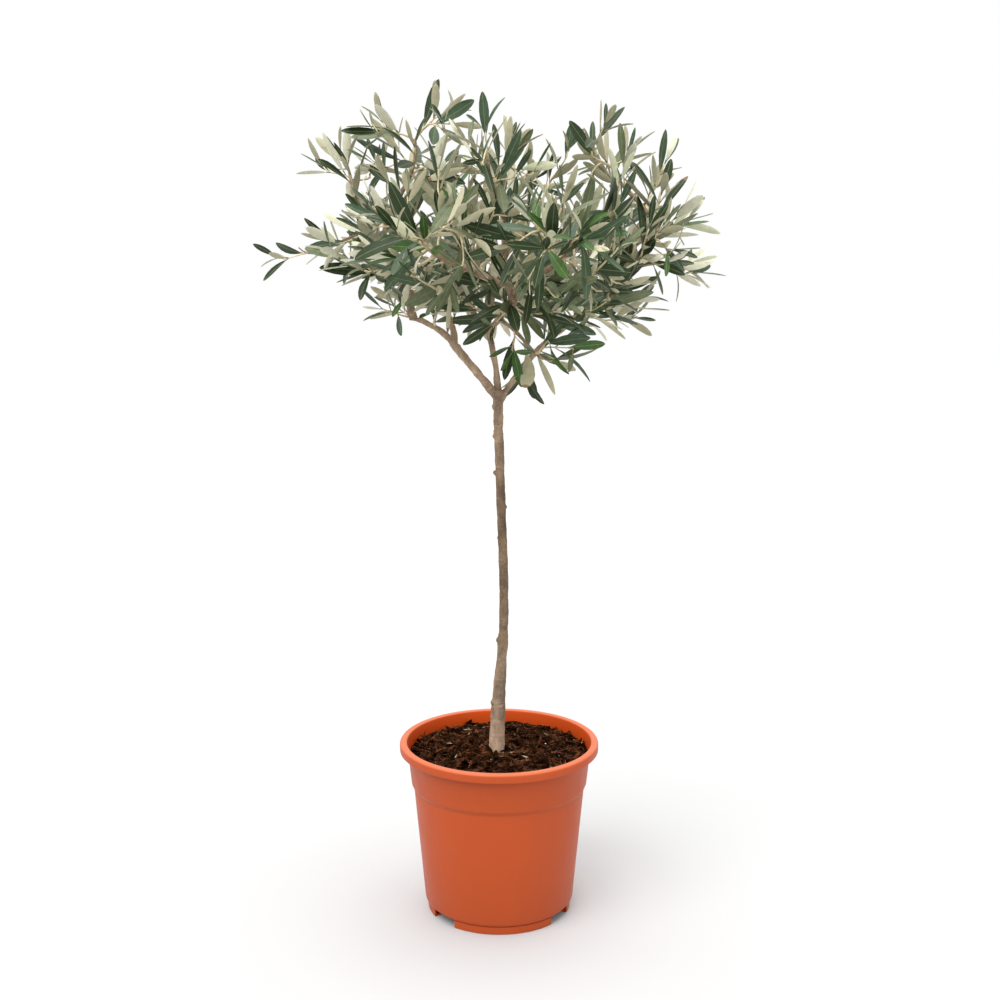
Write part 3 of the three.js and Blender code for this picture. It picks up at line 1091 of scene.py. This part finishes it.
def add_tube(points, faces, line, radii, sides):
    """Adds a closed tapering tube along a line to lists of points and faces."""
    along = unit(np.gradient(line, axis=0))
    side = unit(np.cross(along[0], UP + 0.013))
    start = sum(len(block) for block in points)
    turns = np.arange(sides) * math.tau / sides
    block = []
    for place, way, radius in zip(line, along, radii):
        side = unit(side - way * (side @ way))
        across = np.cross(way, side)
        ring = np.outer(np.cos(turns), side) + np.outer(np.sin(turns), across)
        block.append(place + radius * ring)
    points.append(np.concatenate(block))
    for row in range(len(line) - 1):
        low = start + row * sides
        for k in range(sides):
            after = (k + 1) % sides
            faces.append((low + k, low + after, low + sides + after, low + sides + k))
    last = start + (len(line) - 1) * sides
    faces.append(tuple(range(start + sides - 1, start - 1, -1)))
    faces.append(tuple(range(last, last + sides)))


def make_twigs(name, twigs, sides):
    """Twigs joined into one piece, each with small swellings where its leaves sit."""
    points, faces = [], []
    for twig in twigs:
        swell = 1 + 0.10 * np.sin(np.arange(len(twig.points)) * 2.1)
        add_tube(points, faces, twig.points, twig.radii * swell, sides)
    piece = piece_from_arrays(name, np.concatenate(points), faces)
    make_active(piece)
    bpy.ops.object.shade_smooth()
    return piece


def twig_finish(name, pale, dark):
    """Smooth young bark, faintly streaked."""
    finish = Finish(name, 0.62, specular=0.2)
    streaks = finish.noise(300, detail=4)
    finish.colour(finish.ramp(streaks, [(0.34, tuple(dark)), (0.62, tuple(pale))]))
    finish.bump(streaks, 0.0003)
    return finish.material


# ---- Leaves ----
# Stations along a leaf: share of the blade's length and half width as a share of the widest.
BLADE_SHARES = (0.05, 0.18, 0.36, 0.55, 0.74, 0.88, 0.965)
BLADE = [(share, math.sin(math.pi * share ** 1.22) ** 0.60) for share in BLADE_SHARES]
UPPER, RIB, UNDER, DRY = range(4)


@dataclass
class Leaf:
    """Where one leaf sits and how it is shaped."""

    root: np.ndarray
    way: np.ndarray
    up: np.ndarray
    size: float
    width: float
    curl: float
    twist: float
    dry: bool

    def tip(self):
        return self.root + self.way * self.size


TO_SKY = 0.35  # how far leaves turn their upper sides to the sky
DRY_SHARE = 0.02


def leaf_pair(place, way, turn, size, opening, s, rng):
    """The two leaves that face each other across a shoot."""
    across = unit(np.cross(way, UP + rng.normal(0, 0.05, 3)))
    lift = np.cross(across, way)
    pair = []
    for half_turn in (0, math.pi):
        bearing = turn + half_turn + rng.normal(0, 0.16)
        side = across * math.cos(bearing) + lift * math.sin(bearing)
        spread = s.spread * opening * rng.uniform(0.7, 1.25)
        axis = way * math.cos(spread) + side * math.sin(spread)
        face = way * math.sin(spread) - side * math.cos(spread)
        outwards = unit(place - CROWN_FOOT)
        face = unit(face + UP * TO_SKY + outwards * s.turned_out + rng.normal(0, 0.28, 3))
        face = unit(face - axis * (face @ axis))
        pair.append(
            Leaf(
                root=place,
                way=axis,
                up=face,
                size=size * s.length * rng.uniform(0.78, 1.18),
                width=s.width * rng.uniform(0.82, 1.18),
                curl=rng.normal(-0.10, 0.26),
                twist=rng.normal(0, 0.25),
                dry=rng.random() < DRY_SHARE,
            )
        )
    return pair


# How pairs of leaves grow, and open away from the shoot, from its tip down.
FIRST_SIZE, HANGING_FIRST, GROWTH = 0.58, 0.85, 0.2
FIRST_OPENING, OPENING_GROWTH, WIDEST = 0.62, 0.13, 1.35


def leaves_on(twig, s, rng):
    """Opposite pairs up a shoot, each a quarter turn from the last, smaller at the tip."""
    reach = distances_along(twig.points)
    total = reach[-1]
    directions = twig.directions()
    turn = rng.uniform(0, math.tau)
    leaves = []
    back, pair_number = 0.0, 0
    first_size = HANGING_FIRST if twig.mass == HANGING_MASS else FIRST_SIZE
    while back < min(total * 0.92, s.leafy * rng.uniform(0.75, 1.15)):
        at = total - back
        place = np.array([np.interp(at, reach, twig.points[:, k]) for k in range(3)])
        way = unit(np.array([np.interp(at, reach, directions[:, k]) for k in range(3)]))
        size = min(1.0, first_size + GROWTH * pair_number)
        opening = min(WIDEST, FIRST_OPENING + OPENING_GROWTH * pair_number)
        leaves += leaf_pair(place, way, turn, size, opening, s, rng)
        turn += math.pi / 2
        pair_number += 1
        back += s.spacing * rng.uniform(0.75, 1.3) * min(1.0, 0.5 + GROWTH * pair_number)
    return leaves


def leaf_block(leaf, s):
    """The points of one leaf: four across the upper side and one under the midrib, per station."""
    side = np.cross(leaf.way, leaf.up)
    stations = [(0.0, 0.0), *[(s.petiole / leaf.size + share, width) for share, width in BLADE]]
    half = leaf.size * leaf.width / 2
    stalk = 0.00055
    widest_rib, cupping = 0.00024, 0.20
    rows = []
    place, travelled = leaf.root.copy(), 0.0
    for share, width in stations:
        bend = leaf.curl * share
        way = leaf.way * math.cos(bend) + leaf.up * math.sin(bend)
        up = leaf.up * math.cos(bend) - leaf.way * math.sin(bend)
        place = place + way * (share - travelled) * leaf.size
        travelled = share
        roll = leaf.twist * share
        across = side * math.cos(roll) + up * math.sin(roll)
        top = up * math.cos(roll) - side * math.sin(roll)
        edge = max(stalk, half * width)
        rib = min(edge * 0.5, widest_rib)
        lift = edge * cupping
        rows += [
            place - across * edge + top * lift,
            place - across * rib,
            place + across * rib,
            place + across * edge + top * lift,
            place - top * s.thickness,
        ]
    rows.append(place + way * (1 + s.petiole / leaf.size - travelled) * leaf.size)
    return rows


# Corners of a leaf's section that are its two edges, and how many of its last faces a dry tip takes.
EDGES = (0, 3)
DRY_FACES = 16


def leaf_faces(stations):
    """Faces of one leaf and the material slot of each.

    Each column runs between two corners of the section. Its diagonals all leave from the side
    that is the leaf's edge, so that both sides of the leaf meet the edge alike.
    """
    faces, slots = [], []
    columns = [(0, 1, UPPER), (1, 2, RIB), (2, 3, UPPER), (3, 4, UNDER), (4, 0, UNDER)]
    for row in range(stations - 1):
        for first, second, slot in columns:
            a, b = row * 5 + first, row * 5 + second
            if first in EDGES:
                faces += [(b, a, b + 5), (a, a + 5, b + 5)]
            else:
                faces += [(b, a, a + 5), (b, a + 5, b + 5)]
            slots += [RIB if row == 0 else slot] * 2
    last = (stations - 1) * 5
    for first, second, slot in columns:
        faces.append((last + second, last + first, last + 5))
        slots.append(slot)
    faces.append((0, 1, 2, 3, 4))
    slots.append(RIB)
    return faces, slots


def make_leaves(name, leaves, s):
    """Leaves joined into one piece."""
    stations = len(BLADE) + 1
    faces, slots = leaf_faces(stations)
    per_leaf = stations * 5 + 1
    points = np.array([row for leaf in leaves for row in leaf_block(leaf, s)])
    all_faces, all_slots = [], []
    dry_from = len(faces) - DRY_FACES
    dry_slots = [*slots[:dry_from], *[DRY] * (DRY_FACES - 1), slots[-1]]
    for number, leaf in enumerate(leaves):
        start = number * per_leaf
        all_faces += [tuple(start + corner for corner in face) for face in faces]
        all_slots += dry_slots if leaf.dry else slots
    piece = piece_from_arrays(name, points, all_faces)
    piece.data.polygons.foreach_set("material_index", all_slots)
    make_active(piece)
    bpy.ops.object.shade_smooth_by_angle(angle=math.radians(50))
    return piece


def leaf_finish(name, tint, roughness, mottle, specular):
    """A leaf's skin: a plain base tint, faintly mottled."""
    finish = Finish(name, roughness, specular)
    spots = finish.noise(190, detail=3)
    stops = [(0.34, shade(tint, 1 - mottle)), (0.66, shade(tint, 1 + mottle))]
    finish.colour(finish.ramp(spots, stops))
    finish.bump(finish.noise(1300, detail=2), 0.00006)
    return finish.material


# ---- Operators ----
class OLIVE_OT_pot(bpy.types.Operator):
    """Model the moulded pot"""

    bl_idname = "olive.pot"
    bl_label = "Pot"

    def execute(self, context):
        s = context.scene.olive_pot
        hand_over(make_pot(s), [plastic_finish(s), inside_glow_finish(s)], ["pot"])
        return {"FINISHED"}


class OLIVE_OT_compost(bpy.types.Operator):
    """Model the compost with its chips, fibres and grains"""

    bl_idname = "olive.compost"
    bl_label = "Compost"

    def execute(self, context):
        s = context.scene.olive_compost
        rng = np.random.default_rng(s.seed)
        pot = context.scene.olive_pot
        reach = pot.neck_radius - pot.wall - 0.0012
        mound = make_mound(s, pot)
        peat = compost_finish("peat", [shade(s.dark, 0.6), tuple(s.dark), tuple(s.brown)], 0.6)
        hand_over(mound, [peat], ["soil"])
        self.add_chips(s, mound, reach, rng)
        self.add_strands(s, mound, reach, rng)
        places = resting_places(mound, s.grains, rng)
        sunny = [place for place in places if place[0][0] > rng.uniform(-0.10, 0.05)]
        grains = scatter_chips("grains", sunny, reach, rng, (0.0004, 0.0009), (0.7, 1.0), 0.12, 0)
        hand_over(grains, [twig_finish("grit", s.white, shade(s.white, 0.7))])
        return {"FINISHED"}

    def add_chips(self, s, mound, reach, rng):
        darks = [shade(s.dark, 0.7), shade(s.dark, 1.5), tuple(s.brown)]
        browns = [tuple(s.dark), tuple(s.brown), shade(s.brown, 1.9)]
        reds = [tuple(s.brown), shade(s.red, 0.55), tuple(s.red)]
        sorts = [
            ("chips_dark", 0.38, (0.0030, 0.0105), (0.25, 0.55), darks),
            ("chips_brown", 0.34, (0.0028, 0.0120), (0.14, 0.38), browns),
            ("chips_red", 0.16, (0.0020, 0.0100), (0.10, 0.28), reds),
            ("chips_fine", 0.12, (0.0005, 0.0014), (0.40, 0.90), [*browns[1:], tuple(s.red)]),
        ]
        for name, share, halves, breadths, tints in sorts:
            places = resting_places(mound, int(s.chips * share), rng)
            chips = scatter_chips(name, places, reach, rng, halves, breadths)
            hand_over(chips, [compost_finish(name, tints, 0.5)])
        places = resting_places(mound, s.chips, rng)
        near = [place for place in places if np.hypot(*place[0][:2]) < s.heap_reach]
        heap = scatter_chips("chips_heap", near, reach, rng, (0.0012, 0.0050), (0.15, 0.50))
        hand_over(heap, [compost_finish("chips_heap", [tuple(s.brown), *reds[1:]], 0.6)])

    def add_strands(self, s, mound, reach, rng):
        sorts = [
            ("fibres", s.fibres, (0.005, 0.014), (0.00016, 0.00036), 1.0, s.red, 0.3),
            ("straws", s.straws, (0.004, 0.013), (0.00020, 0.00045), 2.0, s.straw, 0.35),
            ("curls", s.curls, (0.008, 0.015), (0.00070, 0.00150), 2.4, s.straw, 0.6),
        ]
        for name, count, lengths, radii, bend, tint, darkest in sorts:
            places = resting_places(mound, count, rng)
            strands = scatter_strands(name, places, reach, rng, lengths, radii, bend)
            hand_over(strands, [twig_finish(name, tint, shade(tint, darkest))])


class OLIVE_OT_bark(bpy.types.Operator):
    """Model the trunk and boughs with their bark"""

    bl_idname = "olive.bark"
    bl_label = "Trunk and boughs"

    def execute(self, context):
        s = context.scene.olive_bark
        hand_over(make_bark(s), [bark_finish(s)], ["trunk", *BOUGHS])
        return {"FINISHED"}


class OLIVE_OT_crown(bpy.types.Operator):
    """Grow the twigs and leaves of the crown"""

    bl_idname = "olive.crown"
    bl_label = "Twigs and leaves"

    def execute(self, context):
        s = context.scene.olive_twigs
        crown = Crown()
        twigs = grow_twigs(crown, s)
        leaders = [twig for twig in twigs if not twig.leafy]
        shoots = [twig for twig in twigs if twig.leafy]
        branches = make_twigs("branches", leaders, 8)
        hand_over(branches, [twig_finish("branch_bark", s.brown, shade(s.brown, 0.5))])
        young = make_twigs("shoots", shoots, 6)
        hand_over(young, [twig_finish("shoot_bark", s.pale, shade(s.pale, 0.72))])
        self.add_leaves(context.scene.olive_leaves, crown, shoots)
        return {"FINISHED"}

    def add_leaves(self, s, crown, shoots):
        rng = np.random.default_rng(s.seed)
        names = list(TINTS)
        shares = np.array([TINTS[name][2] for name in names])
        shares = shares / shares.sum()
        groups = {name: [] for name in names}
        for shoot in shoots:
            own = rng.choice(names, p=shares)
            for leaf in leaves_on(shoot, s, rng):
                if not crown.holds(leaf.tip(), s.overhang):
                    leaf.size *= OUTER_SIZE
                shaded = rng.random() > crown.leafiness(leaf.root)
                if shaded or not crown.holds(leaf.tip(), s.overhang * OUTER_REACH):
                    continue
                name = own if rng.random() < SAME_TINT else rng.choice(names, p=shares)
                groups[name].append(leaf)
        dry = leaf_finish("dry_tip", tuple(s.withered), 0.7, 0.2, 0.3)
        nodes = list(MASSES)
        for name in names:
            upper, under, _ = TINTS[name]
            vein = tuple(a + (b - a) * VEIN_PALENESS for a, b in zip(upper, s.rib))
            rib = leaf_finish(f"leaf_{name}_midrib", vein, 0.5, 0.1, 0.3)
            top = leaf_finish(f"leaf_{name}_upper", upper, 0.40, 0.16, 0.24)
            felt = leaf_finish(f"leaf_{name}_under", under, 0.75, 0.07, 0.1)
            piece = make_leaves(f"leaves_{name}", groups[name], s)
            hand_over(piece, [top, rib, felt, dry], nodes)
            nodes = []


class OLIVE_OT_stage(bpy.types.Operator):
    """Set the floor, the soft light and the camera"""

    bl_idname = "olive.stage"
    bl_label = "Stage"

    def execute(self, context):
        s = context.scene.olive_stage
        floor = add_primitive("floor", bpy.ops.mesh.primitive_plane_add, size=14)
        finish = Finish("studio_floor", 0.9, specular=0.1)
        finish.shader.inputs["Base Color"].default_value = (*s.floor, 1)
        floor.data.materials.append(finish.material)
        self.set_world(context.scene)
        context.scene.view_settings.view_transform = "Standard"
        self.add_lamp("key", (-1.2, -1.7, 2.4), 45, 2.1)
        self.add_lamp("fill", (1.9, -1.6, 1.0), 60, 0.3)
        self.add_lamp("top", (0.1, 0.3, 2.4), 60, 2.15)
        self.add_camera(context.scene, s)
        return {"FINISHED"}

    def set_world(self, scene):
        world = bpy.data.worlds.new("studio")
        world.use_nodes = True
        world.node_tree.nodes["Background"].inputs["Color"].default_value = (1, 1, 1, 1)
        world.node_tree.nodes["Background"].inputs["Strength"].default_value = 1.0
        scene.world = world

    def add_lamp(self, name, place, breadth, strength):
        """A soft even light from the direction of a place, as broad as its angle in degrees."""
        data = bpy.data.lights.new(name, "SUN")
        data.angle = math.radians(breadth)
        data.energy = strength
        lamp = new_object(name, data)
        lamp.location = place
        lamp.rotation_euler = Vector(place).to_track_quat("Z", "Y").to_euler()

    def add_camera(self, scene, s):
        data = bpy.data.cameras.new("camera")
        data.lens = s.lens
        data.sensor_width = 36
        camera = new_object("camera", data)
        camera.location = (0.001, -s.distance, s.eye)
        camera.rotation_euler = (math.pi / 2 - s.pitch, 0, 0)
        scene.camera = camera


class OLIVE_PT_tree(bpy.types.Panel):
    """Lists the pieces of the tree"""

    bl_label = "Potted Olive Tree"
    bl_idname = "OLIVE_PT_tree"
    bl_space_type = "VIEW_3D"
    bl_region_type = "UI"
    bl_category = "Olive Tree"

    def draw(self, context):
        for operator in OPERATORS:
            self.layout.operator(operator.bl_idname)
        for group in SETTINGS:
            settings = getattr(context.scene, group)
            box = self.layout.box()
            for name in settings.bl_rna.properties.keys():
                if name not in ("rna_type", "name"):
                    box.prop(settings, name)


SETTINGS = {
    "olive_pot": PotSettings,
    "olive_compost": CompostSettings,
    "olive_bark": BarkSettings,
    "olive_twigs": TwigSettings,
    "olive_leaves": LeafSettings,
    "olive_stage": StageSettings,
}
OPERATORS = [OLIVE_OT_stage, OLIVE_OT_pot, OLIVE_OT_compost, OLIVE_OT_bark, OLIVE_OT_crown]
CLASSES = [*SETTINGS.values(), *OPERATORS, OLIVE_PT_tree]


def register():
    for cls in CLASSES:
        bpy.utils.register_class(cls)
    for name, group in SETTINGS.items():
        setattr(bpy.types.Scene, name, PointerProperty(type=group))


def unregister():
    for name in SETTINGS:
        delattr(bpy.types.Scene, name)
    for cls in reversed(CLASSES):
        bpy.utils.unregister_class(cls)


def main():
    register()
    bpy.ops.olive.stage()
    bpy.ops.olive.pot()
    bpy.ops.olive.compost()
    bpy.ops.olive.bark()
    bpy.ops.olive.crown()


if __name__ == "__main__":
    main()
